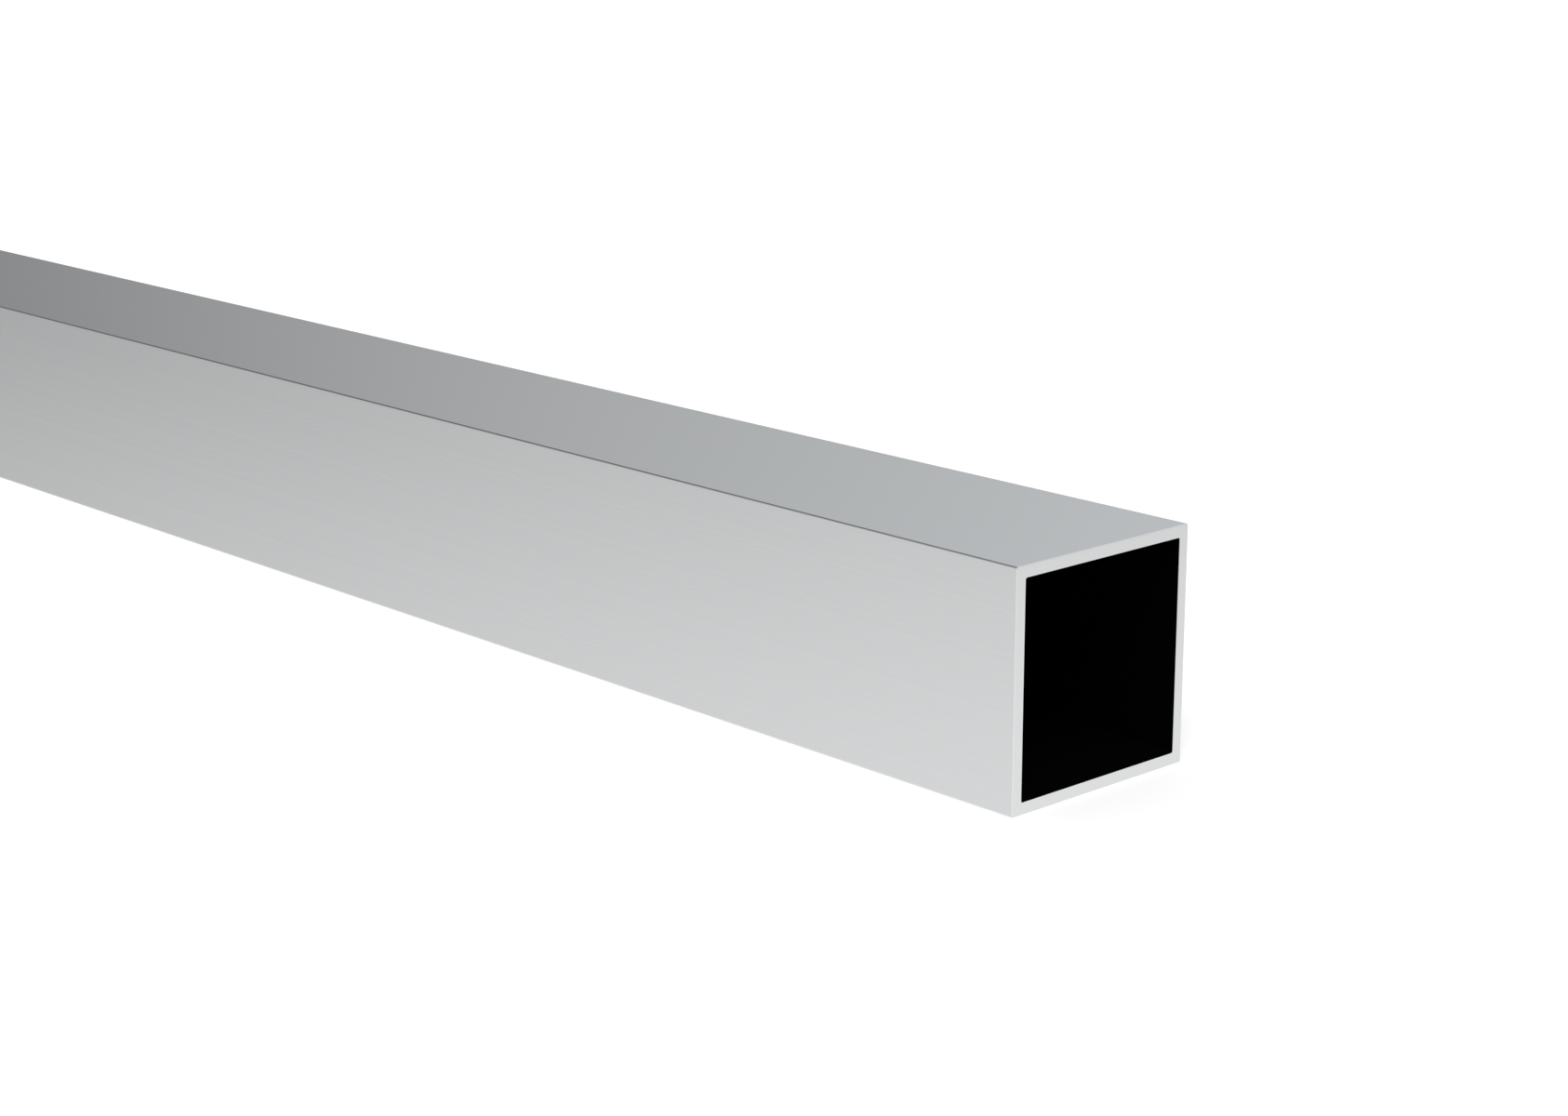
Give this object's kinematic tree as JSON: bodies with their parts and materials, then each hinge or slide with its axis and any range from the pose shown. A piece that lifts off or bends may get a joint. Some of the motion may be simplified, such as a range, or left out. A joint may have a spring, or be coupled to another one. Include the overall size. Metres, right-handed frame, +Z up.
{
  "type": "square metal tube",
  "caption": "Straight length of square aluminium tube with thin, even walls, nearly sharp corners and a bore that is open at both ends.",
  "frame": {"origin": "middle of the face that the tube lies on, half way along it", "axes": "+X runs along the tube towards the end that the picture shows, +Z is up, and +Y is away from the side that the picture shows"},
  "size_m": [1, 0.04, 0.04],
  "materials": {
    "aluminium": "satin, as extruded, with fine lines along its length; sawn and deburred ends"
  },
  "bodies": {
    "root": {"square_tube": "aluminium"}
  },
  "joints": []
}
